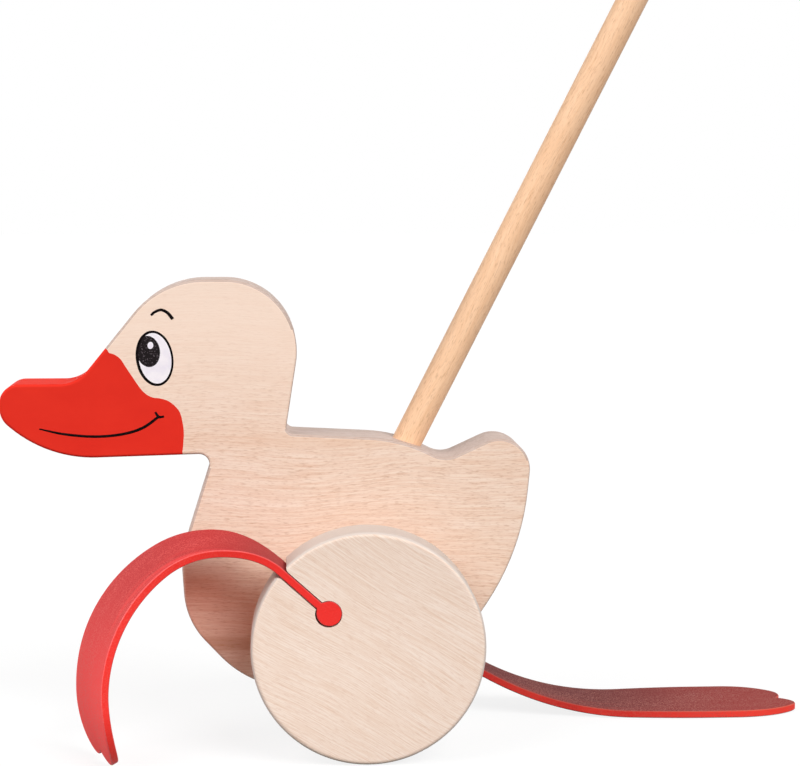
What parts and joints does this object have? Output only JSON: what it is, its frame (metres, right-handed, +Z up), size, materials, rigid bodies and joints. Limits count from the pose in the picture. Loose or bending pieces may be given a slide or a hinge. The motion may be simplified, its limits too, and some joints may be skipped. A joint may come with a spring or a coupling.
{
  "type": "duck push toy",
  "caption": "Flat wooden duck push toy on wooden wheels, with a long push stick and webbed rubber feet held in keyhole slits of the wheels, which slap the floor as it rolls.",
  "frame": {"origin": "on the floor, straight below the axle, in the duck's middle plane", "axes": "+X to the duck's tail, +Y to the duck's right, +Z up; the duck faces -X"},
  "size_m": [0.3634, 0.1036, 0.5306],
  "materials": {
    "body_beech": "pale pinkish beech, sanded, thin satin lacquer; the bill is painted red",
    "wheel_beech": "pale beech, sanded, thin satin lacquer",
    "stick_beech": "tan beech dowel, lengthwise grain, satin",
    "foot_rubber": "red rubber, matt and slightly dusty on its broad faces, brighter on its edges"
  },
  "bodies": {
    "duck": {"duck_body": "body_beech", "push_stick": "stick_beech", "handle_ball": "body_beech"},
    "wheelset": {"axle": "stick_beech", "wheel_left": "wheel_beech", "wheel_right": "wheel_beech", "spacer_left": "stick_beech", "spacer_right": "stick_beech"},
    "foot_left": {"foot_left": "foot_rubber"},
    "foot_right": {"foot_right": "foot_rubber"}
  },
  "joints": [
    {"name": "wheel_axle", "type": "hinge", "parent": "duck", "child": "wheelset", "pos_m": [0, 0, 0.03825], "axis": [0, -1, 0], "continuous": true},
    {"name": "left_foot_flex", "type": "hinge", "parent": "wheelset", "child": "foot_left", "pos_m": [-0.02842, -0.033, 0.06384], "axis": [0, 1, 0], "range_deg": [-15, 45], "stiffness_Nm_per_rad": 0.05, "springref_deg": 5.73, "deforming": ["foot_left"]},
    {"name": "right_foot_flex", "type": "hinge", "parent": "wheelset", "child": "foot_right", "pos_m": [0.03377, 0.033, 0.02029], "axis": [0, -1, 0], "range_deg": [-20, 45], "stiffness_Nm_per_rad": 0.05, "deforming": ["foot_right"]}
  ]
}
